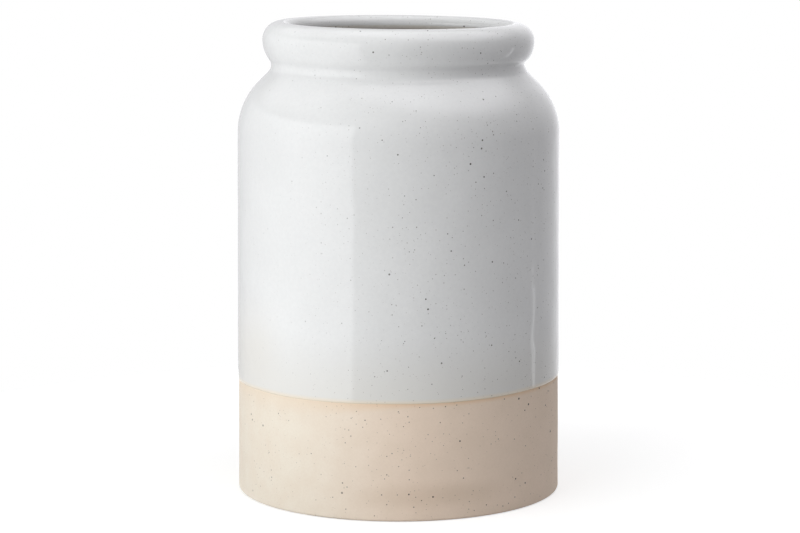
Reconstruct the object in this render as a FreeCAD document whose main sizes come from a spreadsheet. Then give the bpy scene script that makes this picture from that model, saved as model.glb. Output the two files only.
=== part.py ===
import FreeCAD, Part
import Sketcher
import math
import os

# Stoneware utensil crock: a one-piece clay body with a glaze dipped on the outside and a glaze poured inside.
# The crock stands on the XY plane with its axis on Z. Every piece is a profile turned about that axis.

doc = FreeCAD.newDocument("utensil_crock")

# Driving dimensions, in millimetres and degrees
SIZES = {
    "body_height": 189.8,       # clay, from the foot to the crest of the lip
    "body_radius": 64.55,       # clay, where the wall meets the shoulder
    "wall_draft": 0.41,         # degrees that the wall leans out on its way down
    "wall_thickness": 5.6,      # clay wall and shoulder
    "shoulder_radius": 28.5,    # outer round of the shoulder
    "neck_round": 5.2,          # hollow round of the groove under the rim
    "rim_radius": 54.3,         # widest part of the rolled rim
    "rim_overhang": 3.2,        # depth of the neck groove inside the rim
    "rim_flank_round": 13.3,    # rim below its widest line
    "rim_crown_round": 6.9,     # rim from its widest line up to the crest
    "lip_round": 3.3,           # rim from the crest down into the mouth
    "throat_round": 5.0,        # inside, where the mouth opens into the shoulder
    "floor_thickness": 6.0,     # clay above the recess in the underside
    "floor_round": 12.0,        # inside corner between floor and wall
    "foot_round": 2.0,          # outside corner between wall and foot
    "foot_ring_width": 12.0,    # flat ring that the crock stands on
    "foot_recess": 2.0,         # hollow of the underside above the foot ring
    "recess_slope": 3.0,        # width of the slope from the ring up to the recess
    "glaze_thickness": 0.4,     # both glaze coats
    "dip_height": 47.0,         # lower edge of the outer glaze, on the axis
    "dip_tilt": 0.67,           # degrees that the dip line rises towards +X
}

sheet = doc.addObject("Spreadsheet::Sheet", "Sizes")
for row, (name, value) in enumerate(SIZES.items(), start=1):
    sheet.set(f"A{row}", name)
    sheet.set(f"B{row}", str(value))
    sheet.setAlias(f"B{row}", name)
doc.recompute()

# End and centre numbers of a sketch element, and the numbers of a sketch's own axes
START, END, CENTRE = range(1, 4)
X_AXIS, Z_AXIS = range(-1, -3, -1)


def size(name):
    return float(sheet.get(name))


def vector(point):
    return FreeCAD.Vector(point[0], point[1], 0)


def along(point, angle, distance):
    return (point[0] + distance * math.cos(angle), point[1] + distance * math.sin(angle))


def profile_sketch(body, name):
    # A sketch on the body's own XZ plane: its X is the radius and its Y is the height
    plane = next(feature for feature in body.Origin.OriginFeatures if feature.Role == "XZ_Plane")
    sketch = body.newObject("Sketcher::SketchObject", name)
    sketch.AttachmentSupport = [(plane, "")]
    sketch.MapMode = "FlatFace"
    return sketch


def line(sketch, start, end):
    return sketch.addGeometry(Part.LineSegment(vector(start), vector(end)), False)


def arc(sketch, centre, radius, start_angle, end_angle, construction=False):
    circle = Part.Circle(vector(centre), FreeCAD.Vector(0, 0, 1), radius)
    return sketch.addGeometry(Part.ArcOfCircle(circle, start_angle, end_angle), construction)


def constrain(sketch, kind, *references):
    sketch.addConstraint(Sketcher.Constraint(kind, *references))


def dimension(sketch, name, kind, references, value, expression):
    # A named dimension of the sketch, bound to the sheet
    index = sketch.addConstraint(Sketcher.Constraint(kind, *references, value))
    sketch.renameConstraint(index, name)
    sketch.setExpression(f"Constraints.{name}", expression)


def outer_centres():
    # Centres of the rim, neck and shoulder rounds, each placed so that it touches the one above it
    crown = (size("rim_radius") - size("rim_crown_round"), size("body_height") - size("rim_crown_round"))
    flank = (size("rim_radius") - size("rim_flank_round"), crown[1])
    neck_x = size("rim_radius") - size("rim_overhang") + size("neck_round")
    reach = size("rim_flank_round") + size("neck_round")
    neck = (neck_x, flank[1] - math.sqrt(reach**2 - (neck_x - flank[0]) ** 2))
    shoulder_x = size("body_radius") - size("shoulder_radius")
    reach = size("shoulder_radius") + size("neck_round")
    shoulder = (shoulder_x, neck[1] - math.sqrt(reach**2 - (neck_x - shoulder_x) ** 2))
    return crown, flank, neck, shoulder


def heading(start, end):
    return math.atan2(end[1] - start[1], end[0] - start[0])


def outer_rounds(sketch, tag, coats, construction=False):
    # Shoulder, neck, rim flank and rim crown as one smooth chain, outside the clay by a number of glaze coats
    crown_at, flank_at, neck_at, shoulder_at = outer_centres()
    skin = coats * size("glaze_thickness")
    skin_text = f"{coats} * Sizes.glaze_thickness"
    flank_low = heading(flank_at, neck_at)
    shoulder_high = heading(shoulder_at, neck_at)
    draft = math.radians(size("wall_draft"))

    crown_radius = size("rim_crown_round") + skin
    flank_radius = size("rim_flank_round") + skin
    neck_radius = size("neck_round") - skin
    shoulder_radius = size("shoulder_radius") + skin
    crown = arc(sketch, crown_at, crown_radius, 0, math.pi / 2, construction)
    flank = arc(sketch, flank_at, flank_radius, flank_low, 0, construction)
    neck = arc(sketch, neck_at, neck_radius, flank_low + math.pi, shoulder_high + math.pi, construction)
    shoulder = arc(sketch, shoulder_at, shoulder_radius, draft, shoulder_high, construction)

    constrain(sketch, "Tangent", flank, END, crown, START)
    constrain(sketch, "Tangent", neck, START, flank, START)
    constrain(sketch, "Tangent", shoulder, END, neck, END)
    constrain(sketch, "Horizontal", crown, CENTRE, crown, START)
    constrain(sketch, "Vertical", crown, CENTRE, crown, END)
    dimension(sketch, f"{tag}_crown_x", "DistanceX", (crown, CENTRE), crown_at[0],
              "Sizes.rim_radius - Sizes.rim_crown_round")
    dimension(sketch, f"{tag}_crown_z", "DistanceY", (crown, CENTRE), crown_at[1],
              "Sizes.body_height - Sizes.rim_crown_round")
    dimension(sketch, f"{tag}_crown_round", "Radius", (crown,), crown_radius,
              f"Sizes.rim_crown_round + {skin_text}")
    dimension(sketch, f"{tag}_flank_round", "Radius", (flank,), flank_radius,
              f"Sizes.rim_flank_round + {skin_text}")
    dimension(sketch, f"{tag}_neck_round", "Radius", (neck,), neck_radius,
              f"Sizes.neck_round - {skin_text}")
    dimension(sketch, f"{tag}_neck_x", "DistanceX", (neck, CENTRE), neck_at[0],
              "Sizes.rim_radius - Sizes.rim_overhang + Sizes.neck_round")
    dimension(sketch, f"{tag}_shoulder_round", "Radius", (shoulder,), shoulder_radius,
              f"Sizes.shoulder_radius + {skin_text}")
    dimension(sketch, f"{tag}_shoulder_x", "DistanceX", (shoulder, CENTRE), shoulder_at[0],
              "Sizes.body_radius - Sizes.shoulder_radius")
    return crown, shoulder


def outer_contour(sketch, tag, coats, low):
    # The outside from a height on the wall up to the end of the lip round inside the mouth
    crown, shoulder = outer_rounds(sketch, tag, coats)
    crown_at, _, _, shoulder_at = outer_centres()
    skin = coats * size("glaze_thickness")
    draft = math.radians(size("wall_draft"))
    wall_top = along(shoulder_at, draft, size("shoulder_radius") + skin)
    wall_low = (wall_top[0] + (wall_top[1] - low) * math.tan(draft), low)
    wall = line(sketch, wall_low, wall_top)
    lip_radius = size("lip_round") + skin
    lip_at = (crown_at[0], size("body_height") - size("lip_round"))
    lip = arc(sketch, lip_at, lip_radius, math.pi / 2, math.pi)

    constrain(sketch, "Tangent", wall, END, shoulder, START)
    constrain(sketch, "Tangent", crown, END, lip, START)
    constrain(sketch, "Horizontal", lip, CENTRE, lip, END)
    dimension(sketch, f"{tag}_wall_draft", "Angle", (wall,), math.pi / 2 + draft,
              "(90 + Sizes.wall_draft) * 1 deg")
    dimension(sketch, f"{tag}_lip_round", "Radius", (lip,), lip_radius,
              f"Sizes.lip_round + {coats} * Sizes.glaze_thickness")
    return wall, shoulder, lip


def inner_contour(sketch, tag, coats, shoulder):
    # The inside from the mouth down to the middle of the floor, inside the clay by a number of glaze coats
    crown_at, _, _, shoulder_at = outer_centres()
    skin = coats * size("glaze_thickness")
    skin_text = f"{coats} * Sizes.glaze_thickness"
    draft = math.radians(size("wall_draft"))
    mouth_x = crown_at[0] - size("lip_round")
    inner_radius = size("shoulder_radius") - size("wall_thickness")
    throat_x = mouth_x + size("throat_round")
    reach = inner_radius + size("throat_round")
    throat_at = (throat_x, shoulder_at[1] + math.sqrt(reach**2 - (throat_x - shoulder_at[0]) ** 2))
    throat_turn = heading(shoulder_at, throat_at)
    floor_z = size("foot_recess") + size("floor_thickness")
    wall_top = along(shoulder_at, draft, inner_radius - skin)
    corner_z = floor_z + size("floor_round")
    wall_low = (wall_top[0] + (wall_top[1] - corner_z) * math.tan(draft), corner_z)
    corner_at = (wall_low[0] - size("floor_round") + skin, corner_z)

    mouth_top = (mouth_x - skin, size("body_height") - size("lip_round"))
    mouth = line(sketch, mouth_top, (mouth_x - skin, throat_at[1]))
    throat = arc(sketch, throat_at, size("throat_round") + skin, math.pi, math.pi + throat_turn)
    vault = arc(sketch, shoulder_at, inner_radius - skin, draft, throat_turn)
    wall = line(sketch, wall_low, wall_top)
    corner = arc(sketch, corner_at, size("floor_round") - skin, -math.pi / 2, draft)
    floor = line(sketch, (0, floor_z + skin), (corner_at[0], floor_z + skin))

    constrain(sketch, "Tangent", mouth, END, throat, START)
    constrain(sketch, "Tangent", throat, END, vault, END)
    constrain(sketch, "Coincident", vault, CENTRE, shoulder, CENTRE)
    constrain(sketch, "Tangent", wall, END, vault, START)
    constrain(sketch, "Tangent", wall, START, corner, END)
    constrain(sketch, "Tangent", floor, END, corner, START)
    constrain(sketch, "Horizontal", floor)
    constrain(sketch, "PointOnObject", floor, START, Z_AXIS)
    dimension(sketch, f"{tag}_throat_round", "Radius", (throat,), size("throat_round") + skin,
              f"Sizes.throat_round + {skin_text}")
    dimension(sketch, f"{tag}_vault_round", "Radius", (vault,), inner_radius - skin,
              f"Sizes.shoulder_radius - Sizes.wall_thickness - {skin_text}")
    dimension(sketch, f"{tag}_wall_draft", "Angle", (wall,), math.pi / 2 + draft,
              "(90 + Sizes.wall_draft) * 1 deg")
    dimension(sketch, f"{tag}_floor_round", "Radius", (corner,), size("floor_round") - skin,
              f"Sizes.floor_round - {skin_text}")
    dimension(sketch, f"{tag}_floor_z", "DistanceY", (floor, START), floor_z + skin,
              f"Sizes.foot_recess + Sizes.floor_thickness + {skin_text}")
    return mouth, floor


def turn(body, sketch, name):
    # The closed profile turned once round the crock's axis
    feature = body.newObject("PartDesign::Revolution", name)
    feature.Profile = sketch
    feature.ReferenceAxis = (sketch, ["V_Axis"])
    feature.Angle = 360
    doc.recompute()
    return feature


def new_body(label):
    body = doc.addObject("PartDesign::Body", label)
    body.Label = label
    return body


def make_stoneware_body():
    # The clay: outside, inside and an underside that stands on a flat foot ring
    body = new_body("stoneware_body")
    sketch = profile_sketch(body, "clay_profile")
    foot_round = size("foot_round")
    wall, shoulder, lip = outer_contour(sketch, "outside", 0, foot_round)
    mouth, floor = inner_contour(sketch, "inside", 0, shoulder)
    constrain(sketch, "Tangent", lip, END, mouth, START)

    draft = math.radians(size("wall_draft"))
    wall_low = sketch.Geometry[wall].StartPoint
    corner_at = (wall_low.x - foot_round, foot_round)
    ring_in = corner_at[0] - size("foot_ring_width")
    recess_end = (ring_in - size("recess_slope"), size("foot_recess"))
    corner = arc(sketch, corner_at, foot_round, -math.pi / 2, draft)
    ring = line(sketch, (ring_in, 0), (corner_at[0], 0))
    slope = line(sketch, recess_end, (ring_in, 0))
    recess = line(sketch, (0, recess_end[1]), recess_end)
    middle = line(sketch, (0, recess_end[1]), (0, sketch.Geometry[floor].StartPoint.y))

    constrain(sketch, "Tangent", corner, END, wall, START)
    constrain(sketch, "Tangent", ring, END, corner, START)
    constrain(sketch, "Horizontal", ring)
    constrain(sketch, "PointOnObject", ring, START, X_AXIS)
    constrain(sketch, "Coincident", slope, END, ring, START)
    constrain(sketch, "Coincident", recess, END, slope, START)
    constrain(sketch, "Horizontal", recess)
    constrain(sketch, "Coincident", middle, START, recess, START)
    constrain(sketch, "Coincident", middle, END, floor, START)
    constrain(sketch, "Vertical", middle)
    dimension(sketch, "foot_round", "Radius", (corner,), foot_round, "Sizes.foot_round")
    dimension(sketch, "ring_width", "DistanceX", (ring, START, ring, END), size("foot_ring_width"),
              "Sizes.foot_ring_width")
    dimension(sketch, "slope_width", "DistanceX", (slope, START, slope, END), size("recess_slope"),
              "Sizes.recess_slope")
    dimension(sketch, "recess_depth", "DistanceY", (recess, START), size("foot_recess"), "Sizes.foot_recess")
    turn(body, sketch, "clay")
    return body


def wipe_below_dip_line(body):
    # Everything below the tilted dip line is wiped off the coat
    sketch = profile_sketch(body, "dip_line")
    tilt = math.radians(size("dip_tilt"))
    reach = 2 * size("body_radius")
    left_z = size("dip_height") - reach * math.tan(tilt)
    right_z = size("dip_height") + reach * math.tan(tilt)
    dip = line(sketch, (-reach, left_z), (reach, right_z))
    right = line(sketch, (reach, right_z), (reach, -reach))
    base = line(sketch, (reach, -reach), (-reach, -reach))
    left = line(sketch, (-reach, -reach), (-reach, left_z))
    for side, following in ((dip, right), (right, base), (base, left), (left, dip)):
        constrain(sketch, "Coincident", side, END, following, START)
    constrain(sketch, "Vertical", right)
    constrain(sketch, "Horizontal", base)
    constrain(sketch, "Vertical", left)
    dimension(sketch, "left_x", "DistanceX", (left, START), -reach, "-2 * Sizes.body_radius")
    dimension(sketch, "base_z", "DistanceY", (left, START), -reach, "-2 * Sizes.body_radius")
    dimension(sketch, "width", "DistanceX", (base, END, base, START), 2 * reach, "4 * Sizes.body_radius")
    dimension(sketch, "left_z", "DistanceY", (dip, START), left_z,
              "Sizes.dip_height - 2 * Sizes.body_radius * tan(Sizes.dip_tilt * 1 deg)")
    dimension(sketch, "dip_tilt", "Angle", (dip,), tilt, "Sizes.dip_tilt * 1 deg")
    wiped = body.newObject("PartDesign::Pocket", "wiped")
    wiped.Profile = sketch
    wiped.Type = "ThroughAll"
    wiped.SideType = "Symmetric"
    doc.recompute()
    return wiped


def make_outer_glaze():
    # The dipped coat: wall, shoulder, neck and rim, ending on the lip round and at a tilted dip line
    body = new_body("outer_glaze")
    sketch = profile_sketch(body, "coat_profile")
    tilt = math.radians(size("dip_tilt"))
    low = size("dip_height") - 2 * size("body_radius") * math.tan(tilt) - size("glaze_thickness")
    clay_wall, _, clay_lip = outer_contour(sketch, "clay", 0, low)
    skin_wall, _, skin_lip = outer_contour(sketch, "skin", 1, low)
    ends = sketch.Geometry
    low_edge = line(sketch, (ends[clay_wall].StartPoint.x, low), (ends[skin_wall].StartPoint.x, low))
    lip_z = size("body_height") - size("lip_round")
    lip_edge = line(sketch, (ends[clay_lip].EndPoint.x, lip_z), (ends[skin_lip].EndPoint.x, lip_z))
    constrain(sketch, "Coincident", low_edge, START, clay_wall, START)
    constrain(sketch, "Coincident", low_edge, END, skin_wall, START)
    constrain(sketch, "Horizontal", low_edge)
    constrain(sketch, "Coincident", lip_edge, START, clay_lip, END)
    constrain(sketch, "Coincident", lip_edge, END, skin_lip, END)
    dimension(sketch, "low_z", "DistanceY", (clay_wall, START), low,
              "Sizes.dip_height - 2 * Sizes.body_radius * tan(Sizes.dip_tilt * 1 deg)"
              " - Sizes.glaze_thickness")
    coat = turn(body, sketch, "coat")
    wiped = wipe_below_dip_line(body)
    if wiped.Shape.Volume >= coat.Shape.Volume:
        raise RuntimeError("the dip line cuts nothing off the outer glaze")
    return body


def make_liner_glaze():
    # The poured coat: from the end of the lip round down the inside and across the floor
    body = new_body("liner_glaze")
    sketch = profile_sketch(body, "liner_profile")
    _, shoulder = outer_rounds(sketch, "guide", 0, construction=True)
    constrain(sketch, "Horizontal", shoulder, CENTRE, shoulder, START)
    clay_mouth, clay_floor = inner_contour(sketch, "clay", 0, shoulder)
    skin_mouth, skin_floor = inner_contour(sketch, "skin", 1, shoulder)
    ends = sketch.Geometry
    mouth_x = ends[clay_mouth].StartPoint.x
    skin_x = ends[skin_mouth].StartPoint.x
    lip_z = size("body_height") - size("lip_round")
    lip_edge = line(sketch, (mouth_x, lip_z), (skin_x, lip_z))
    middle = line(sketch, (0, ends[clay_floor].StartPoint.y), (0, ends[skin_floor].StartPoint.y))
    constrain(sketch, "Vertical", clay_mouth)
    constrain(sketch, "Vertical", skin_mouth)
    constrain(sketch, "Coincident", lip_edge, START, clay_mouth, START)
    constrain(sketch, "Coincident", lip_edge, END, skin_mouth, START)
    constrain(sketch, "Horizontal", lip_edge)
    constrain(sketch, "Coincident", middle, START, clay_floor, START)
    constrain(sketch, "Coincident", middle, END, skin_floor, START)
    dimension(sketch, "lip_z", "DistanceY", (clay_mouth, START), lip_z, "Sizes.body_height - Sizes.lip_round")
    dimension(sketch, "mouth_x", "DistanceX", (clay_mouth, START), mouth_x,
              "Sizes.rim_radius - Sizes.rim_crown_round - Sizes.lip_round")
    dimension(sketch, "skin_x", "DistanceX", (skin_mouth, START), skin_x,
              "Sizes.rim_radius - Sizes.rim_crown_round - Sizes.lip_round - Sizes.glaze_thickness")
    turn(body, sketch, "liner")
    return body


pieces = [make_stoneware_body(), make_outer_glaze(), make_liner_glaze()]
doc.recompute()

# Nothing is written unless every object is sound and every profile is fully dimensioned
for item in doc.Objects:
    if "Invalid" in item.State or "Error" in item.State:
        raise RuntimeError(f"{item.Label} failed: {item.State}")
    if item.isDerivedFrom("Sketcher::SketchObject") and not item.FullyConstrained:
        raise RuntimeError(f"{item.Label} is not fully dimensioned")
for piece in pieces:
    if piece.Shape.isNull() or not piece.Shape.isValid():
        raise RuntimeError(f"{piece.Label} has no valid shape")

os.makedirs("parts", exist_ok=True)
for piece in pieces:
    piece.Shape.exportStep(f"parts/{piece.Label}.step")
    box = piece.Shape.optimalBoundingBox()
    print(f"{piece.Label}: {piece.Shape.Volume / 1000:.2f} cm3, z {box.ZMin:.2f} to {box.ZMax:.2f},"
          f" width {box.XLength:.2f}")
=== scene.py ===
import math

import bpy
import numpy as np
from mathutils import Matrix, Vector


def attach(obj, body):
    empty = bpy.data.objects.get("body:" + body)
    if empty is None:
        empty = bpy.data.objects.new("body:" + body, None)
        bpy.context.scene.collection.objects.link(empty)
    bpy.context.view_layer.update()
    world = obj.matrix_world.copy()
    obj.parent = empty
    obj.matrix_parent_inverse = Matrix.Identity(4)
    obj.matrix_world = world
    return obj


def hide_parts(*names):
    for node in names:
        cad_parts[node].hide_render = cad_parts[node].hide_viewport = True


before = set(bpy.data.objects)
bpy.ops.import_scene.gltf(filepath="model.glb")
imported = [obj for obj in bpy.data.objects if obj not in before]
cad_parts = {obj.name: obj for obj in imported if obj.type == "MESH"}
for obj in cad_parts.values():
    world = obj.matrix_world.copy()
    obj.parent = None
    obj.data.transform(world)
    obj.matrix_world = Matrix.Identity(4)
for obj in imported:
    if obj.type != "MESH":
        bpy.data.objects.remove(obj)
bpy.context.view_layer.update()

scene = bpy.context.scene
print("frame loaded:", sorted(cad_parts))

# The crock's form in millimetres and degrees. These are the CAD solids' values, with the neck eased by a
# short straight slope, the foot's edge a little crisper and the dip line a touch lower, which moves each by
# less than 0.5 mm.
crockForm = {
    "bodyHeight": 189.8,     # clay, foot to crest of the lip
    "bodyRadius": 64.55,     # clay, where the wall meets the shoulder
    "wallDraft": 0.41,       # the wall leans out on its way down
    "wallThickness": 5.6,
    "shoulderRound": 27.3,
    "neckSlope": 45.0,       # straight slope from the shoulder up to the neck
    "neckRound": 4.25,       # hollow of the groove under the rim
    "rimRadius": 54.3,
    "rimOverhang": 3.36,
    "flankRound": 13.25,     # rim below its widest line
    "crownRound": 6.9,       # rim above its widest line
    "lipRound": 3.3,         # crest down into the mouth
    "throatRound": 5.0,      # mouth out into the shoulder, inside
    "floorThickness": 6.0,
    "floorRound": 12.0,
    "footRound": 1.0,
    "footRingWidth": 12.0,
    "footRecess": 2.0,
    "recessSlope": 3.0,
    "glazeThickness": 0.4,
    "dipHeight": 46.6,       # lower edge of the outer glaze, on the axis
    "dipTilt": 0.67,         # that edge rises towards +X
    "segments": 288,         # columns round the axis
    "sharpEdge": 50.0,       # faces that meet at more than this keep a hard edge
}

# What the potter's hand left, in millimetres. A wave is its height, how many times it goes round, and its
# phase. A ring is its depth, its pitch up the wall, and its lean: how much, how many times round, and the
# phase of that.
potterMarks = {
    "outOfRound": [(0.09, 2, 0.7), (0.04, 3, -1.1)],
    "fingerRings": [(0.030, 31.0, 0.9, 1, -0.4), (0.014, 17.5, -1.3, 2, 0.5)],
    "steady": 40.0,          # both fade out inside this radius
    "bite": 0.8,             # the finger that turned the neck groove went deeper on the +X side
    "biteHeight": 173.8,
    "biteSpan": 1.6,
    "biteRadius": (47.0, 50.0),  # the mouth inside has none of it, the groove outside all
    "rimLean": 0.0081,       # the rim sinks towards +X by this share of x
    "leanHeight": 161.0,     # from here up, and higher up towards +X, lower down towards -X
    "leanTilt": 11.0,
    "leanSpan": 25.0,
    "dipRuns": [(0.10, 3, 0.4), (0.07, 7, -1.0), (0.03, 13, 2.0)],  # where the glaze ran at its lower edge
}

# Widest row spacing in the tight rounds, in millimetres, and the radius that a fan closes on the axis
tightRows = {"neck": 0.5, "lip": 0.5, "throat": 0.8, "corner": 1.0}
poleGap = {"floor": 2.0, "recess": 1.0}

millimetre = 0.001
inMillimetres = (1 / millimetre,) * 3
around = np.linspace(0, 2 * math.pi, crockForm["segments"], endpoint=False)


def arcRun(centre, radius, start, end, step):
    # A round: centre plus radius times (cos a, sin a), a going evenly from start to end in degrees
    count = max(3, math.ceil(abs(math.radians(end - start)) * radius / step) + 1)
    a = np.radians(np.linspace(start, end, count))
    return np.stack([centre[0] + radius * np.cos(a), centre[1] + radius * np.sin(a)], axis=1)


def lineRun(start, end, step):
    # A straight run: start plus a share of the way to end, the share going evenly from 0 to 1
    start, end = np.array(start, float), np.array(end, float)
    count = max(2, math.ceil(np.hypot(*(end - start)) / step) + 1)
    return start + np.linspace(0, 1, count)[:, None] * (end - start)


def joinRuns(*runs):
    # One profile out of runs that meet end to end, with each shared point kept once
    return np.concatenate([runs[0]] + [run[1:] for run in runs[1:]])


def bearing(start, end):
    return math.degrees(math.atan2(end[1] - start[1], end[0] - start[0]))


def roundCentres(form):
    # Two rounds that touch have their centres as far apart as their radii add up to. Neck and shoulder both
    # touch the slope between them instead, so each stands its own radius off that line.
    crown = (form["rimRadius"] - form["crownRound"], form["bodyHeight"] - form["crownRound"])
    flank = (form["rimRadius"] - form["flankRound"], crown[1])
    neckX = form["rimRadius"] - form["rimOverhang"] + form["neckRound"]
    reach = form["flankRound"] + form["neckRound"]
    neck = (neckX, flank[1] - math.sqrt(reach**2 - (neckX - flank[0]) ** 2))
    shoulderX = form["bodyRadius"] - form["shoulderRound"]
    a = math.radians(form["neckSlope"])
    reach = form["shoulderRound"] + form["neckRound"]
    slopeRun = (shoulderX + reach * math.cos(a) - neckX) / math.sin(a)
    shoulder = (shoulderX, neck[1] - reach * math.sin(a) - slopeRun * math.cos(a))
    return crown, flank, neck, shoulder


crownAt, flankAt, neckAt, shoulderAt = roundCentres(crockForm)
draftSlope = math.tan(math.radians(crockForm["wallDraft"]))
lipAt = (crownAt[0], crockForm["bodyHeight"] - crockForm["lipRound"])
mouthX = crownAt[0] - crockForm["lipRound"]


def wallTop(offset):
    # Where the straight wall ends and the shoulder (or, inside, the vault) begins
    a = math.radians(crockForm["wallDraft"])
    radius = crockForm["shoulderRound"] + offset
    return shoulderAt[0] + radius * math.cos(a), shoulderAt[1] + radius * math.sin(a)


def wallRadius(z, offset):
    # A straight cone: the radius at the top of the wall plus the draft's share of the way down
    topR, topZ = wallTop(offset)
    return topR + (topZ - z) * draftSlope


def shoulderToLip(skin, step):
    # Shoulder, slope, neck groove, rim flank, crown and lip as one chain, each outside the clay by the skin
    form = crockForm
    slope, flankStart = form["neckSlope"], bearing(flankAt, neckAt)
    shoulder = arcRun(shoulderAt, form["shoulderRound"] + skin, form["wallDraft"], slope, step)
    neckStep = min(step, tightRows["neck"])
    neck = arcRun(neckAt, form["neckRound"] - skin, slope + 180, flankStart + 180, neckStep)
    return joinRuns(
        shoulder,
        lineRun(shoulder[-1], neck[0], step),
        neck,
        arcRun(flankAt, form["flankRound"] + skin, flankStart, 0, step),
        arcRun(crownAt, form["crownRound"] + skin, 0, 90, step),
        arcRun(lipAt, form["lipRound"] + skin, 90, 180, min(step, tightRows["lip"])),
    )


def lipToFloor(skin, step):
    # Mouth, throat, vault, inner wall and floor corner, then the floor in to the axis, each inside the clay
    form = crockForm
    vaultRound = form["shoulderRound"] - form["wallThickness"]
    throatX = mouthX + form["throatRound"]
    reach = vaultRound + form["throatRound"]
    throatAt = (throatX, shoulderAt[1] + math.sqrt(reach**2 - (throatX - shoulderAt[0]) ** 2))
    turn = bearing(shoulderAt, throatAt)
    floorZ = form["footRecess"] + form["floorThickness"]
    cornerZ = floorZ + form["floorRound"]
    inner = -form["wallThickness"] - skin
    cornerAt = (wallRadius(cornerZ, inner) - form["floorRound"] + skin, cornerZ)
    top = wallTop(inner)
    corner = arcRun(cornerAt, form["floorRound"] - skin, 0, -90, min(step, tightRows["corner"]))
    return joinRuns(
        lineRun((mouthX - skin, lipAt[1]), (mouthX - skin, throatAt[1]), step),
        arcRun(throatAt, form["throatRound"] + skin, 180, 180 + turn, min(step, tightRows["throat"])),
        arcRun(shoulderAt, vaultRound - skin, turn, form["wallDraft"], step),
        lineRun(top, corner[0], step),
        corner,
        lineRun(corner[-1], (poleGap["floor"], floorZ + skin), step),
    )


def waves(marks, angle):
    # Slow waves round the axis, added up: height times the cosine of count times the angle plus phase
    return sum(height * np.cos(count * angle + phase) for height, count, phase in marks)


def dipLine(angle):
    # A tilted plane cuts the wall, with slow waves on it where the glaze ran as the crock was lifted
    tilt = math.tan(math.radians(crockForm["dipTilt"]))
    level = crockForm["dipHeight"] + tilt * crockForm["bodyRadius"] * np.cos(angle)
    return level + waves(potterMarks["dipRuns"], angle)


def potterHand(r, z, angle):
    # Out-of-round and finger rings, a cosine of z over the pitch whose phase leans as it goes round, fade to
    # nothing on the axis. The bite is a bell over z that points to +X, and the lean a share of x that eases
    # in over z.
    marks = potterMarks
    drift = waves(marks["outOfRound"], angle)
    for depth, pitch, lean, count, phase in marks["fingerRings"]:
        drift = drift + depth * np.cos(2 * math.pi * z / pitch + lean * np.cos(count * angle + phase))
    r = r + drift * np.clip(r / marks["steady"], 0, 1) ** 2
    none, full = marks["biteRadius"]
    bell = np.exp(-(((z - marks["biteHeight"]) / marks["biteSpan"]) ** 2))
    toRight = np.clip(np.cos(angle), 0, 1) ** 3
    r = r - marks["bite"] * bell * toRight * np.clip((r - none) / (full - none), 0, 1)
    lift = np.clip((z - marks["leanHeight"] - marks["leanTilt"] * np.cos(angle)) / marks["leanSpan"], 0, 1)
    lift = lift**2 * (3 - 2 * lift)
    x, y = r * np.cos(angle), r * np.sin(angle)
    return np.stack([x, y, z - marks["rimLean"] * x * lift], axis=-1)


def turnedRows(profile):
    # A profile carried round the axis: every point (r, z) goes to every column's angle
    return (np.repeat(profile[:, :1], around.size, axis=1), np.repeat(profile[:, 1:], around.size, axis=1))


def closedPiece(name, r, z, poles=None):
    # Rows of the grid joined by quads round the axis. With poles, both ends close in a fan on the axis at
    # those heights; without, the last row joins the first. Profiles run out, up, in and down, so faces point
    # outwards.
    rows, columns = r.shape
    points = potterHand(r, z, around[None, :]).reshape(-1, 3)
    index = np.arange(rows * columns).reshape(rows, columns)
    low, high = (index[:-1], index[1:]) if poles else (index, np.roll(index, -1, axis=0))
    quads = np.stack([low, np.roll(low, -1, 1), np.roll(high, -1, 1), high], axis=-1).reshape(-1, 4)
    faces = quads.tolist()
    if poles:
        first, last = rows * columns, rows * columns + 1
        points = np.concatenate([points, [[0, 0, poles[0]], [0, 0, poles[1]]]])
        ends = np.stack([np.full(columns, first), np.roll(index[0], -1), index[0]], axis=1)
        tops = np.stack([index[-1], np.roll(index[-1], -1), np.full(columns, last)], axis=1)
        faces += ends.tolist() + tops.tolist()
    mesh = bpy.data.meshes.new(name)
    mesh.from_pydata((points * millimetre).tolist(), [], faces)
    mesh.shade_smooth()
    mesh.set_sharp_from_angle(angle=math.radians(crockForm["sharpEdge"]))
    # How far above the dip line each point lies, in millimetres, for the toasted line and the thin glaze edge
    angle = np.arctan2(points[:, 1], points[:, 0])
    above = mesh.attributes.new("aboveDip", "FLOAT", "POINT")
    above.data.foreach_set("value", (points[:, 2] - dipLine(angle)).astype(np.float32))
    piece = bpy.data.objects.new(name, mesh)
    scene.collection.objects.link(piece)
    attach(piece, "root")
    print(f"{name}: {len(mesh.vertices)} points, {len(mesh.polygons)} faces")
    return piece


# Bare clay body
bodyMake = {
    "seenStep": 0.9,         # row spacing where the clay shows
    "hiddenStep": 4.0,       # row spacing under the glaze
    "ringStep": 1.5,         # row spacings on the foot ring, its outer edge, the slope and the recess
    "edgeStep": 0.25,
    "slopeStep": 0.3,
    "recessStep": 0.65,
    "turningPitch": 2.6,     # trimming marks on the underside
    "turningDepth": 0.05,
    "turningFade": (2.0, 6.0),  # none as far in from the slope as the first, all from the second
    "underGlaze": 3.0,       # the clay keeps its seen spacing this far up under the glaze
}


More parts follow.
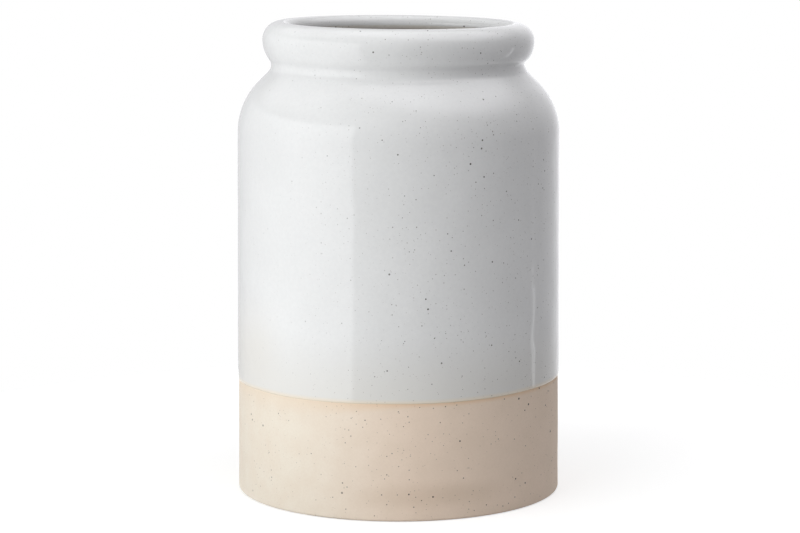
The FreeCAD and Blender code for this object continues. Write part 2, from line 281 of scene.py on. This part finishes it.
def makeBody():
    form, make = crockForm, bodyMake
    footAt = (wallRadius(form["footRound"], 0) - form["footRound"], form["footRound"])
    ringIn = footAt[0] - form["footRingWidth"]
    slopeIn = ringIn - form["recessSlope"]
    # Underside: a flat recess with turning marks, z = depth * cos(2 pi r / pitch), then a slope that eases
    # from the recess to the ring as half a cosine wave
    recessZ = form["footRecess"]
    recess = lineRun((poleGap["recess"], recessZ), (slopeIn, recessZ), make["recessStep"])
    none, full = make["turningFade"]
    fade = np.clip((slopeIn - none - recess[:, 0]) / (full - none), 0, 1)
    recess[:, 1] += make["turningDepth"] * np.cos(2 * math.pi * recess[:, 0] / make["turningPitch"]) * fade
    slope = lineRun((slopeIn, 0), (ringIn, 0), make["slopeStep"])
    share = (slope[:, 0] - slopeIn) / form["recessSlope"]
    slope[:, 1] = recessZ * (0.5 + 0.5 * np.cos(math.pi * share))
    seenTop = form["dipHeight"] + make["underGlaze"]
    foot = arcRun(footAt, form["footRound"], -90, form["wallDraft"], make["edgeStep"])
    profile = joinRuns(
        recess,
        slope,
        lineRun((ringIn, 0), (footAt[0], 0), make["ringStep"]),
        foot,
        lineRun(foot[-1], (wallRadius(seenTop, 0), seenTop), make["seenStep"]),
        lineRun((wallRadius(seenTop, 0), seenTop), wallTop(0), make["hiddenStep"]),
        shoulderToLip(0, make["hiddenStep"]),
        lipToFloor(0, make["hiddenStep"]),
    )
    r, z = turnedRows(profile)
    return closedPiece("stonewareBody", r, z, (recessZ, recessZ + form["floorThickness"]))


# Dipped outer glaze
glazeMake = {
    "step": 1.0,             # row spacing outside
    "hiddenStep": 4.0,       # row spacing against the clay
    "sunk": 0.05,            # the hidden side lies this far inside the clay's face
    "backRows": 24,          # rows down the back of the wall
    "crowdHeight": 6.0,      # rows crowd towards the dip line over this height
    "crowdRows": 17,
    "edgeRound": 0.55,       # height over which the coat comes to its thickness at the dip line
    "edgeBead": 0.02,        # extra thickness of the bead just above that
    "beadHeight": 1.0,
    "beadSpan": 0.7,
    "lapBelowLip": 0.5,      # the coat laps over the liner this far down into the mouth
    "lapThickness": 0.33,
    "lapStep": 0.2,
}


def makeOuterGlaze():
    form, make = crockForm, glazeMake
    skin = form["glazeThickness"]
    dip = dipLine(around)[None, :]
    topZ = wallTop(skin)[1]
    # Wall: rows rise from the dip line as the square of their share, then evenly. The coat's thickness is a
    # quarter of an ellipse, full at the edge round, plus a bell-shaped bead.
    crowded = make["crowdHeight"] * np.linspace(0, 1, make["crowdRows"]) ** 2
    evenRows = math.ceil((topZ - form["dipHeight"]) / make["step"])
    rise = np.concatenate([
        np.repeat(crowded[:, None], around.size, axis=1),
        crowded[-1] + np.linspace(0, 1, evenRows)[1:, None] * (topZ - dip - crowded[-1]),
    ])
    inside = 1 - np.clip(rise / make["edgeRound"], 0, 1)
    coat = skin * np.sqrt(1 - inside**2)
    bead = np.exp(-(((rise - make["beadHeight"]) / make["beadSpan"]) ** 2))
    coat = coat + make["edgeBead"] * bead * (1 - inside)
    wallZ = dip + rise
    wallR = wallRadius(wallZ, 0) + coat
    # Shoulder to lip, then a lap down into the mouth that thins over the liner
    lapEnd = lipAt[1] - make["lapBelowLip"]
    lap = lineRun((mouthX - skin, lipAt[1]), (mouthX - skin, lapEnd), make["lapStep"])
    thin = (lipAt[1] - lap[:, 1]) / make["lapBelowLip"]
    lap[:, 0] += (skin - make["lapThickness"]) * thin**2
    upperR, upperZ = turnedRows(joinRuns(shoulderToLip(skin, make["step"]), lap)[1:])
    # Back down against the clay
    back = joinRuns(
        shoulderToLip(-make["sunk"], make["hiddenStep"]),
        lineRun((mouthX + make["sunk"], lipAt[1]), (mouthX + make["sunk"], lapEnd), make["lapStep"]),
    )[::-1]
    backR, backZ = turnedRows(back)
    fall = np.linspace(0, 1, make["backRows"])[1:, None]
    lowZ = topZ + fall * (dip + make["sunk"] - topZ)
    r = np.concatenate([wallR, upperR, backR, wallRadius(lowZ, 0) - make["sunk"]])
    z = np.concatenate([wallZ, upperZ, backZ, lowZ])
    return closedPiece("outerGlaze", r, z)


# Poured liner glaze
linerMake = {
    "step": 1.3,
    "hiddenStep": 4.0,
    "sunk": 0.05,
    "underLap": 0.36,        # thickness under the lap of the outer coat
    "lapReach": (1.0, 1.4),  # below the lip: thin as far as the first, full from the second
}


def makeLinerGlaze():
    form, make = crockForm, linerMake
    skin = form["glazeThickness"]
    floorZ = form["footRecess"] + form["floorThickness"]
    clay = lipToFloor(-make["sunk"], make["hiddenStep"])[::-1]
    seen = lipToFloor(skin, make["step"])
    # The top millimetre is a touch thinner, so that the outer coat lies over it
    thin, full = make["lapReach"]
    nearLip = np.clip((seen[:, 1] - (lipAt[1] - full)) / (full - thin), 0, 1)
    seen[:, 0] += (skin - make["underLap"]) * nearLip
    r, z = turnedRows(np.concatenate([clay, seen]))
    return closedPiece("linerGlaze", r, z, (floorZ - make["sunk"], floorZ + skin))


body = makeBody()
outerGlaze = makeOuterGlaze()
linerGlaze = makeLinerGlaze()
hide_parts("stoneware_body")
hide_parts("outer_glaze")
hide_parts("liner_glaze")


def linear(hexColour):
    # sRGB hex to linear RGBA
    share = np.array([int(hexColour[i:i + 2], 16) for i in (1, 3, 5)]) / 255
    return tuple(np.where(share <= 0.04045, share / 12.92, ((share + 0.055) / 1.055) ** 2.4)) + (1.0,)


def addNode(tree, kind, links=None, **settings):
    # One node: settings are its own properties, links its sockets' values or the outputs that feed them
    node = tree.nodes.new(kind)
    for name, value in settings.items():
        setattr(node, name, value)
    for socket, value in (links or {}).items():
        if isinstance(value, bpy.types.NodeSocket):
            tree.links.new(value, node.inputs[socket])
        else:
            node.inputs[socket].default_value = value
    return node


def newMaterial(name):
    material = bpy.data.materials.new(name)
    material.use_nodes = True
    material.node_tree.nodes.clear()
    return material, material.node_tree


def speckle(tree, place, colour, specks, paleShare):
    # Iron grains are balls scattered through the ware, one to a cell of a Voronoi pattern, and the surface
    # cuts through them. Each layer of grains lays its own colour over what is there: place is in millimetres.
    # Towards -x, the side painted paler as highlight, each dot fades down to paleShare of its strength.
    side = addNode(tree, "ShaderNodeSeparateXYZ", {0: place})
    none, full = speckFade["span"]
    speckStrength = addNode(tree, "ShaderNodeMapRange",
                    {"Value": side.outputs[0], "From Min": none, "From Max": full,
                     "To Min": paleShare, "To Max": speckFade["most"]})
    for grain in specks:
        moved = addNode(tree, "ShaderNodeVectorMath", {0: place, 1: grain["shift"]}, operation="ADD")
        cells = addNode(tree, "ShaderNodeTexVoronoi",
                        {"Vector": moved.outputs[0], "Scale": 1 / grain["spacing"]},
                        voronoi_dimensions="3D", feature="F1")
        chance = addNode(tree, "ShaderNodeSeparateColor", {0: cells.outputs["Color"]})
        small, large = (size / grain["spacing"] for size in grain["radius"])
        radius = addNode(tree, "ShaderNodeMapRange",
                         {"Value": chance.outputs[0], "To Min": small, "To Max": large})
        reach = addNode(tree, "ShaderNodeMath", {0: cells.outputs["Distance"], 1: radius.outputs[0]},
                        operation="DIVIDE")
        faint, strong = grain["strength"]
        depth = addNode(tree, "ShaderNodeMapRange",
                        {"Value": chance.outputs[1], "To Min": faint, "To Max": strong})
        dot = addNode(tree, "ShaderNodeMapRange",
                      {"Value": reach.outputs[0], "From Min": 1 - grain["soft"], "From Max": 1.0,
                       "To Min": depth.outputs[0], "To Max": 0.0},
                      interpolation_type="SMOOTHSTEP")
        dot = addNode(tree, "ShaderNodeMath", {0: dot.outputs[0], 1: speckStrength.outputs[0]}, operation="MULTIPLY")
        layer = addNode(tree, "ShaderNodeMix", {0: dot.outputs[0], 6: colour, 7: linear(grain["colour"])},
                        data_type="RGBA")
        colour = layer.outputs[2]
    return colour


# Iron grains seen in the ware, in millimetres: a few bold ones, many small ones and fine pepper, all crisp.
# The dots go from their faintest to their strongest over a stretch of x.
speckFade = {"span": (-46.0, 12.0), "most": 1.25}
glazeSpecks = [
    {"spacing": 5.2, "radius": (0.20, 0.45), "soft": 0.35, "strength": (0.65, 1.0), "colour": "#3E3631",
     "shift": (8.6, 1.2, 4.4)},
    {"spacing": 2.3, "radius": (0.12, 0.30), "soft": 0.4, "strength": (0.35, 0.85), "colour": "#5A4F47",
     "shift": (11.3, 2.5, 5.7)},
    {"spacing": 1.4, "radius": (0.08, 0.23), "soft": 0.5, "strength": (0.28, 0.75), "colour": "#6E6259",
     "shift": (6.4, 13.1, 9.2)},
]
claySpecks = [
    {"spacing": 4.6, "radius": (0.20, 0.52), "soft": 0.3, "strength": (0.65, 1.0), "colour": "#3A302A",
     "shift": (3.1, 7.7, 1.9)},
    {"spacing": 2.3, "radius": (0.12, 0.32), "soft": 0.4, "strength": (0.35, 0.85), "colour": "#5C4C40",
     "shift": (11.3, 2.5, 5.7)},
    {"spacing": 1.6, "radius": (0.08, 0.22), "soft": 0.5, "strength": (0.25, 0.70), "colour": "#705D4E",
     "shift": (6.4, 13.1, 9.2)},
]

noiseSpan = (0.35, 0.65)     # nearly all of a noise texture lies between these
glazeLook = {
    "white": "#E4E4E4",
    "cloud": "#DFDFDF",      # where the coat lies a little thinner
    "cloudSize": 38.0,
    "mottle": "#D2D2D3",     # fine clouding in the opacity of the coat
    "mottleSize": 1.5,       # really nearer 0.5, drawn coarser so that it shows
    "mottleShare": 0.16,
    "warm": "#DEDAD3",       # low on the -x side the coat thins early, and the clay warms it
    "warmHeight": 44.0,
    "warmSide": (-42.0, -58.0),  # x from none of that to all of it
    "thin": "#D9D7D3",       # the lowest of the coat all round, thin enough for the clay to grey it
    "thinHeight": 30.0,
    "thinShare": 0.9,
    "edge": "#E2D6C4",       # its last line, with clay showing through
    "edgeHeight": 2.2,
    "peelSize": 14.0,        # slow ripple of the fired surface
    "peelDepth": 0.30,
    "roughness": (0.05, 0.075),
    "paleSpecks": 0.20,
    "ior": 1.5,
}


def makeSpecklyGlaze(name, look, specks):
    # Zircon white stoneware glaze, dipped or poured and fired to a full gloss: an even bright skin with iron
    # dots bled up into it and sharp reflections with a faint ripple. It warms where it thins out towards the
    # dip line, and on the liner the mouth and vault are painted dark brown as shade.
    material, tree = newMaterial(name)
    coords = addNode(tree, "ShaderNodeTexCoord").outputs["Object"]
    place = addNode(tree, "ShaderNodeMapping", {"Vector": coords, "Scale": inMillimetres}).outputs[0]
    cloud = addNode(tree, "ShaderNodeTexNoise",
                    {"Vector": place, "Scale": 1 / look["cloudSize"], "Detail": 3.0})
    tone = addNode(tree, "ShaderNodeMapRange",
                   {"Value": cloud.outputs[0], "From Min": noiseSpan[0], "From Max": noiseSpan[1]})
    colour = addNode(tree, "ShaderNodeMix",
                     {0: tone.outputs[0], 6: linear(look["white"]), 7: linear(look["cloud"])},
                     data_type="RGBA").outputs[2]
    fine = addNode(tree, "ShaderNodeTexNoise",
                   {"Vector": place, "Scale": 1 / look["mottleSize"], "Detail": 2.0})
    patch = addNode(tree, "ShaderNodeMapRange",
                    {"Value": fine.outputs[0], "From Min": noiseSpan[0], "From Max": noiseSpan[1],
                     "To Max": look["mottleShare"]})
    colour = addNode(tree, "ShaderNodeMix", {0: patch.outputs[0], 6: colour, 7: linear(look["mottle"])},
                     data_type="RGBA").outputs[2]
    if "edge" in look:
        above = addNode(tree, "ShaderNodeAttribute", attribute_name="aboveDip")
        side = addNode(tree, "ShaderNodeSeparateXYZ", {0: place})
        none, full = look["warmSide"]
        keyLitSide = addNode(tree, "ShaderNodeMapRange",
                       {"Value": side.outputs[0], "From Min": none, "From Max": full},
                       interpolation_type="SMOOTHSTEP")
        tints = (("warm", "warmHeight", keyLitSide.outputs[0]), ("thin", "thinHeight", look["thinShare"]),
                 ("edge", "edgeHeight", 1.0))
        for tint, height, most in tints:
            share = addNode(tree, "ShaderNodeMapRange",
                            {"Value": above.outputs["Fac"], "From Min": 0.0, "From Max": look[height],
                             "To Min": most, "To Max": 0.0},
                            interpolation_type="SMOOTHSTEP")
            colour = addNode(tree, "ShaderNodeMix", {0: share.outputs[0], 6: colour, 7: linear(look[tint])},
                             data_type="RGBA").outputs[2]
    # Painted shade: the liner darkens to brown down the mouth and into the vault
    if "mouthShade" in look:
        level = addNode(tree, "ShaderNodeSeparateXYZ", {0: place})
        share = look["mouthShadeShare"]
        for none, full in look["mouthShadeFades"]:
            fade = addNode(tree, "ShaderNodeMapRange",
                           {"Value": level.outputs[2], "From Min": none, "From Max": full},
                           interpolation_type="SMOOTHSTEP")
            share = addNode(tree, "ShaderNodeMath", {0: fade.outputs[0], 1: share},
                            operation="MULTIPLY").outputs[0]
        colour = addNode(tree, "ShaderNodeMix", {0: share, 6: colour, 7: linear(look["mouthShade"])},
                         data_type="RGBA").outputs[2]
    colour = speckle(tree, place, colour, specks, look["paleSpecks"])
    peel = addNode(tree, "ShaderNodeTexNoise",
                   {"Vector": place, "Scale": 1 / look["peelSize"], "Detail": 1.5})
    smooth, dull = look["roughness"]
    gloss = addNode(tree, "ShaderNodeMapRange",
                    {"Value": cloud.outputs[0], "From Min": noiseSpan[0], "From Max": noiseSpan[1],
                     "To Min": smooth, "To Max": dull})
    ripple = addNode(tree, "ShaderNodeBump",
                     {"Height": peel.outputs[0], "Strength": 1.0, "Distance": look["peelDepth"] * millimetre})
    shader = addNode(tree, "ShaderNodeBsdfPrincipled",
                     {"Base Color": colour, "Roughness": gloss.outputs[0], "IOR": look["ior"],
                      "Normal": ripple.outputs[0]})
    addNode(tree, "ShaderNodeOutputMaterial", {"Surface": shader.outputs[0]})
    return material


clayLook = {
    "keyLitSide": "#E6DDCF",       # painted highlight: the -x side paler, where the key lamp falls
    "warm": "#E9D5C3",       # the clay's own tone, on the +x side away from the key lamp
    "turn": (-48.0, 12.0),   # the tone turns from one to the other over this stretch of x
    "mottle": "#D9C6B2",
    "mottleSize": 9.0,
    "mottleShare": 0.24,
    "grain": "#D2BFAC",
    "grainSize": 0.9,        # the clay's real grain is nearer 0.2, drawn coarser so that it shows
    "grainShare": 0.10,
    "footShade": "#C8B29D",     # painted shade low over the foot, about a point and as far out from it
    "footShadeAt": (14.0, -65.0, 10.0),
    "footShadeReach": (41.0, 60.0, 7.5),
    "footShadeFade": (1.0, 0.1),  # shares of that reach, from none of the painted shade to all of it
    "footShadeShare": 0.39,
    "flush": "#E4C3A0",      # toasted line under the glaze
    "flushHeight": (8.0, 2.0),  # on the -x side and on the +x side
    "flushShare": (0.20, 0.65),
    "paleSpecks": 0.75,
    "grainDepth": 0.012,
    "roughness": (0.58, 0.70),
    "ior": 1.45,
}


def makeBareClay(look):
    # Iron-speckled buff stoneware, sponged smooth and fired bare: dry, fine-grained and slightly mottled,
    # with dark dots, the -x side painted paler as highlight, and an orange flush just under the glaze
    material, tree = newMaterial("bareBuffStoneware")
    coords = addNode(tree, "ShaderNodeTexCoord").outputs["Object"]
    place = addNode(tree, "ShaderNodeMapping", {"Vector": coords, "Scale": inMillimetres}).outputs[0]
    mottle = addNode(tree, "ShaderNodeTexNoise",
                     {"Vector": place, "Scale": 1 / look["mottleSize"], "Detail": 4.0})
    side = addNode(tree, "ShaderNodeSeparateXYZ", {0: place})
    turned = addNode(tree, "ShaderNodeMapRange",
                     {"Value": side.outputs[0], "From Min": look["turn"][0], "From Max": look["turn"][1]},
                     interpolation_type="SMOOTHSTEP")
    # Painted highlight: the clay turns paler and greyer towards -x, where the key lamp falls on it
    colour = addNode(tree, "ShaderNodeMix",
                     {0: turned.outputs[0], 6: linear(look["keyLitSide"]), 7: linear(look["warm"])},
                     data_type="RGBA").outputs[2]
    patch = addNode(tree, "ShaderNodeMapRange",
                    {"Value": mottle.outputs[0], "From Min": noiseSpan[0], "From Max": noiseSpan[1],
                     "To Max": look["mottleShare"]})
    colour = addNode(tree, "ShaderNodeMix", {0: patch.outputs[0], 6: colour, 7: linear(look["mottle"])},
                     data_type="RGBA").outputs[2]
    grit = addNode(tree, "ShaderNodeTexNoise",
                   {"Vector": place, "Scale": 1 / look["grainSize"], "Detail": 2.0})
    dust = addNode(tree, "ShaderNodeMapRange",
                   {"Value": grit.outputs[0], "From Min": noiseSpan[0], "From Max": noiseSpan[1],
                    "To Max": look["grainShare"]})
    colour = addNode(tree, "ShaderNodeMix", {0: dust.outputs[0], 6: colour, 7: linear(look["grain"])},
                     data_type="RGBA").outputs[2]
    # Painted shade: a soft darker patch low on the wall over the foot, in front and towards +x
    off = addNode(tree, "ShaderNodeVectorMath", {0: place, 1: look["footShadeAt"]}, operation="SUBTRACT")
    off = addNode(tree, "ShaderNodeVectorMath", {0: off.outputs[0], 1: look["footShadeReach"]},
                  operation="DIVIDE")
    off = addNode(tree, "ShaderNodeVectorMath", {0: off.outputs[0]}, operation="LENGTH")
    none, full = look["footShadeFade"]
    footShadeMask = addNode(tree, "ShaderNodeMapRange",
                  {"Value": off.outputs["Value"], "From Min": none, "From Max": full,
                   "To Max": look["footShadeShare"]},
                  interpolation_type="SMOOTHSTEP")
    colour = addNode(tree, "ShaderNodeMix", {0: footShadeMask.outputs[0], 6: colour, 7: linear(look["footShade"])},
                     data_type="RGBA").outputs[2]
    above = addNode(tree, "ShaderNodeAttribute", attribute_name="aboveDip")
    onPale, onWarm = look["flushHeight"]
    low = addNode(tree, "ShaderNodeMapRange",
                  {"Value": turned.outputs[0], "To Min": -onPale, "To Max": -onWarm})
    onPale, onWarm = look["flushShare"]
    most = addNode(tree, "ShaderNodeMapRange",
                   {"Value": turned.outputs[0], "To Min": onPale, "To Max": onWarm})
    toast = addNode(tree, "ShaderNodeMapRange",
                    {"Value": above.outputs["Fac"], "From Min": low.outputs[0], "From Max": 0.0,
                     "To Max": most.outputs[0]},
                    interpolation_type="SMOOTHSTEP")
    colour = addNode(tree, "ShaderNodeMix", {0: toast.outputs[0], 6: colour, 7: linear(look["flush"])},
                     data_type="RGBA").outputs[2]
    colour = speckle(tree, place, colour, claySpecks, look["paleSpecks"])
    smooth, dull = look["roughness"]
    rough = addNode(tree, "ShaderNodeMapRange",
                    {"Value": grit.outputs[0], "From Min": noiseSpan[0], "From Max": noiseSpan[1],
                     "To Min": smooth, "To Max": dull})
    bump = addNode(tree, "ShaderNodeBump",
                   {"Height": grit.outputs[0], "Strength": 1.0, "Distance": look["grainDepth"] * millimetre})
    shader = addNode(tree, "ShaderNodeBsdfPrincipled",
                     {"Base Color": colour, "Roughness": rough.outputs[0], "IOR": look["ior"],
                      "Normal": bump.outputs[0]})
    addNode(tree, "ShaderNodeOutputMaterial", {"Surface": shader.outputs[0]})
    return material


linerLook = {
    "white": "#E0DDD8",
    "cloud": "#D8D4CD",
    "cloudSize": 30.0,
    "mottle": "#C9C3BA",
    "mottleSize": 2.0,
    "mottleShare": 0.3,
    "mouthShade": "#6E6054",       # painted shade: dark brown down the mouth and into the vault, where little light reaches
    "mouthShadeFades": ((187.0, 183.2), (105.0, 160.0)),  # heights from none to all of it, from above and below
    "mouthShadeShare": 0.9,
    "peelSize": 6.0,
    "peelDepth": 0.03,
    "roughness": (0.09, 0.135),
    "paleSpecks": 1.0,
    "ior": 1.5,
}

body.data.materials.append(makeBareClay(clayLook))
outerGlaze.data.materials.append(makeSpecklyGlaze("whiteSpeckledGlaze", glazeLook, glazeSpecks))
linerGlaze.data.materials.append(makeSpecklyGlaze("pouredLinerGlaze", linerLook, glazeSpecks))
print("materials:", [material.name for material in bpy.data.materials])

# Table top: white card
tableTop = {
    "radius": 0.27,          # metres
    "below": 0.0001,         # metres under the foot, so that the two faces don't share a plane
    "colour": "#C8C8C8",
    "lift": (0.58, 0.67),    # what is added to the card, near the crock and far out, to meet the white behind
    "liftReach": (0.08, 0.24),  # metres from the axis, from the first lift to the second
    "rings": 24,
    "columns": 96,
    "hole": 0.002,           # share of the radius that one flat face closes
    "cardFrom": (-122.0, -124.0),  # bearing in degrees where the key card's glow sets in
    "cardGlow": 0.8,
}


def makeTableTop():
    # A flat disc: rings of points at even shares of the radius. Its white card shows as a bright, even floor
    # that keeps the crock's shadow.
    turn = np.linspace(0, 2 * math.pi, tableTop["columns"], endpoint=False)
    share, a = np.meshgrid(np.linspace(tableTop["hole"], 1, tableTop["rings"]), turn, indexing="ij")
    points = np.stack([share * np.cos(a), share * np.sin(a), 0 * a], axis=-1) * tableTop["radius"]
    points[..., 2] -= tableTop["below"]
    index = np.arange(share.size).reshape(share.shape)
    low, high = index[:-1], index[1:]
    quads = np.stack([low, high, np.roll(high, -1, 1), np.roll(low, -1, 1)], axis=-1).reshape(-1, 4)
    mesh = bpy.data.meshes.new("tableTop")
    mesh.from_pydata(points.reshape(-1, 3).tolist(), [], quads.tolist() + [index[0].tolist()])
    floor = bpy.data.objects.new("tableTop", mesh)
    scene.collection.objects.link(floor)
    material, tree = newMaterial("whiteCard")
    path = addNode(tree, "ShaderNodeLightPath").outputs
    seen = addNode(tree, "ShaderNodeMath", {0: path["Is Camera Ray"], 1: path["Is Glossy Ray"]},
                   operation="ADD")
    seen = addNode(tree, "ShaderNodeMath", {0: seen.outputs[0], 1: path["Is Transmission Ray"]},
                   operation="ADD")
    place = addNode(tree, "ShaderNodeTexCoord").outputs["Object"]
    out = addNode(tree, "ShaderNodeVectorMath", {0: place}, operation="LENGTH")
    near, far = tableTop["liftReach"]
    least, most = tableTop["lift"]
    lift = addNode(tree, "ShaderNodeMapRange",
                   {"Value": out.outputs["Value"], "From Min": near, "From Max": far,
                    "To Min": least, "To Max": most},
                   interpolation_type="SMOOTHSTEP")
    seen = addNode(tree, "ShaderNodeMath", {0: seen.outputs[0], 1: lift.outputs[0]}, operation="MULTIPLY")
    # In reflections the table's left is as bright as the key card that stands over it
    flat = addNode(tree, "ShaderNodeSeparateXYZ", {0: place})
    turn = addNode(tree, "ShaderNodeMath", {0: flat.outputs[1], 1: flat.outputs[0]}, operation="ARCTAN2")
    turn = addNode(tree, "ShaderNodeMath", {0: turn.outputs[0]}, operation="DEGREES")
    none, full = tableTop["cardFrom"]
    left = addNode(tree, "ShaderNodeMapRange",
                   {"Value": turn.outputs[0], "From Min": none, "From Max": full,
                    "To Max": tableTop["cardGlow"]},
                   interpolation_type="SMOOTHSTEP")
    left = addNode(tree, "ShaderNodeMath", {0: left.outputs[0], 1: path["Is Glossy Ray"]},
                   operation="MULTIPLY")
    seen = addNode(tree, "ShaderNodeMath", {0: seen.outputs[0], 1: left.outputs[0]}, operation="ADD")
    card = addNode(tree, "ShaderNodeBsdfDiffuse", {"Color": linear(tableTop["colour"])})
    glow = addNode(tree, "ShaderNodeEmission", {"Strength": seen.outputs[0]})
    both = addNode(tree, "ShaderNodeAddShader", {0: card.outputs[0], 1: glow.outputs[0]})
    addNode(tree, "ShaderNodeOutputMaterial", {"Surface": both.outputs[0]})
    mesh.materials.append(material)


makeTableTop()
print("table top placed")


def direction(azimuth, elevation):
    a, e = math.radians(azimuth), math.radians(elevation)
    return Vector((-math.sin(a) * math.cos(e), -math.cos(a) * math.cos(e), math.sin(e)))


# Lamps shape the light on the ware: azimuth in degrees to the left of the camera's side, elevation above the
# table, sizes in metres, power in watts. The glaze mirrors the soft cards below, not these.
lampAim = Vector((0, 0, 0.10))
studioLamps = {
    "keyLamp": {"azimuth": 48.5, "elevation": 11, "distance": 1.0,
                "width": 1.1, "height": 0.9, "power": 9.5, "colour": "#FDFFFE"},
    "topLamp": {"azimuth": -142, "elevation": 82, "distance": 1.0,
                "width": 1.3, "height": 1.2, "power": 5.7, "colour": "#FFFFFF"},
    "sideLamp": {"azimuth": -60, "elevation": 40, "distance": 1.0,
                 "width": 0.8, "height": 0.6, "power": 1.2, "colour": "#FDFCFF"},
}
for name, lamp in studioLamps.items():
    light = bpy.data.lights.new(name, "AREA")
    light.shape = "RECTANGLE"
    light.size, light.size_y, light.energy = lamp["width"], lamp["height"], lamp["power"]
    light.color = linear(lamp["colour"])[:3]
    holder = bpy.data.objects.new(name, light)
    out = direction(lamp["azimuth"], lamp["elevation"])
    holder.location = lampAim + out * lamp["distance"]
    holder.rotation_euler = (-out).to_track_quat("-Z", "Y").to_euler()
    holder.visible_camera = False
    holder.visible_glossy = False
    scene.collection.objects.link(holder)

# Surroundings: white to the eye, a lower even light on the ware, and in reflections white with soft cards
# before it. A card fades in over the first pair of angles and out over the second, in azimuth (turn) and in
# elevation (rise). An azimuth of 400 is never reached, so a card with it goes on to straight behind. Bow
# bends a card's level edges down towards the sides by that share of the azimuth squared. A ceiling card is
# round: full as far as the first angle from its aim, gone at the second.
roomLight = {"ambient": 0.230, "mirrored": 0.64, "colour": "#FCFCFF", "toTheEye": 1.0, "white": "#FFFFFF"}
softCards = {
    "keyCard": {"turn": (31.5, 33.5, 74, 162), "rise": (-80, -60, 24, 29), "bow": 0.0006, "glow": 1.65},
    "backLeft": {"turn": (110, 140, 400, 401), "rise": (-60, -40, 30, 50), "bow": 0.0, "glow": 0.16},
    "backRight": {"turn": (-401, -400, -165, -115), "rise": (-60, -40, 30, 50), "bow": 0.0, "glow": 0.48},
    "sideStrip": {"turn": (-115, -112.5, -111, -108.5), "rise": (-30, -20, -9.4, -7.4),
                  "bow": 0.0, "glow": 1.05},
    "sideStripHigh": {"turn": (-115, -112.5, -111, -108.5), "rise": (-7.6, -6.8, -6.3, -5.5),
                      "bow": 0.0, "glow": 0.35},
}
ceilingCards = {
    "overhead": {"aim": (-100, 70), "reach": (20, 50), "glow": 2.10},
    "overheadFront": {"aim": (-20, 62), "reach": (20, 50), "glow": 0.15},
    "backTop": {"aim": (125, 52), "reach": (15, 40), "glow": 0.70},
}


def makeRoom():
    world = bpy.data.worlds.new("whiteRoom")
    world.use_nodes = True
    tree = world.node_tree
    tree.nodes.clear()
    scene.world = world

    # Azimuth to the left of the camera's side is the angle of (-x, -y), and elevation the arcsine of z
    way = addNode(tree, "ShaderNodeTexCoord").outputs["Generated"]
    parts = addNode(tree, "ShaderNodeSeparateXYZ", {0: way}).outputs
    left = addNode(tree, "ShaderNodeMath", {0: parts[0], 1: -1.0}, operation="MULTIPLY").outputs[0]
    front = addNode(tree, "ShaderNodeMath", {0: parts[1], 1: -1.0}, operation="MULTIPLY").outputs[0]
    turn = addNode(tree, "ShaderNodeMath", {0: left, 1: front}, operation="ARCTAN2").outputs[0]
    turn = addNode(tree, "ShaderNodeMath", {0: turn}, operation="DEGREES").outputs[0]
    rise = addNode(tree, "ShaderNodeMath", {0: parts[2]}, operation="ARCSINE").outputs[0]
    rise = addNode(tree, "ShaderNodeMath", {0: rise}, operation="DEGREES").outputs[0]
    square = addNode(tree, "ShaderNodeMath", {0: turn, 1: turn}, operation="MULTIPLY").outputs[0]
    # Each card is its glow times a few fades, and a fade goes from none at one angle to all at another
    cards = []
    for card in softCards.values():
        bowed = addNode(tree, "ShaderNodeMath", {0: square, 1: card["bow"], 2: rise},
                        operation="MULTIPLY_ADD").outputs[0]
        turns, rises = card["turn"], card["rise"]
        cards.append((card["glow"], [(turn, turns[0], turns[1]), (turn, turns[3], turns[2]),
                                     (bowed, rises[0], rises[1]), (bowed, rises[3], rises[2])]))
    for card in ceilingCards.values():
        near = addNode(tree, "ShaderNodeVectorMath", {0: way, 1: direction(*card["aim"])},
                       operation="DOT_PRODUCT")
        apart = addNode(tree, "ShaderNodeMath", {0: near.outputs["Value"]}, operation="ARCCOSINE")
        apart = addNode(tree, "ShaderNodeMath", {0: apart.outputs[0]}, operation="DEGREES")
        full, none = card["reach"]
        cards.append((card["glow"], [(apart.outputs[0], none, full)]))
    mirrored = roomLight["mirrored"]
    for glow, fades in cards:
        for angle, none, full in fades:
            share = addNode(tree, "ShaderNodeMapRange",
                            {"Value": angle, "From Min": none, "From Max": full},
                            interpolation_type="SMOOTHSTEP")
            glow = addNode(tree, "ShaderNodeMath", {0: share.outputs[0], 1: glow},
                           operation="MULTIPLY").outputs[0]
        mirrored = addNode(tree, "ShaderNodeMath", {0: glow, 1: mirrored}, operation="ADD").outputs[0]
    path = addNode(tree, "ShaderNodeLightPath").outputs
    seen = addNode(tree, "ShaderNodeMath", {0: path["Is Camera Ray"], 1: path["Is Transmission Ray"]},
                   operation="MAXIMUM").outputs[0]
    level = addNode(tree, "ShaderNodeMix",
                    {0: path["Is Glossy Ray"], 2: roomLight["ambient"], 3: mirrored}).outputs[0]
    level = addNode(tree, "ShaderNodeMix", {0: seen, 2: level, 3: roomLight["toTheEye"]}).outputs[0]
    tone = addNode(tree, "ShaderNodeMix",
                   {0: seen, 6: linear(roomLight["colour"]), 7: linear(roomLight["white"])},
                   data_type="RGBA").outputs[2]
    sky = addNode(tree, "ShaderNodeBackground", {"Color": tone, "Strength": level})
    addNode(tree, "ShaderNodeOutputWorld", {"Surface": sky.outputs[0]})


makeRoom()

# Camera at the photograph's angle: metres, radians down from level, millimetres
cameraSetup = {"location": (0.00066, -1.08106, 0.25506), "pitch": 0.151, "lens": 120.58, "sensor": 36.0}
lens = bpy.data.cameras.new("camera")
lens.sensor_fit = "HORIZONTAL"
lens.sensor_width, lens.lens = cameraSetup["sensor"], cameraSetup["lens"]
camera = bpy.data.objects.new("camera", lens)
camera.location = cameraSetup["location"]
camera.rotation_euler = (math.pi / 2 - cameraSetup["pitch"], 0, 0)
scene.collection.objects.link(camera)
scene.camera = camera
scene.view_settings.view_transform = "Standard"
print("lamps, room and camera placed")
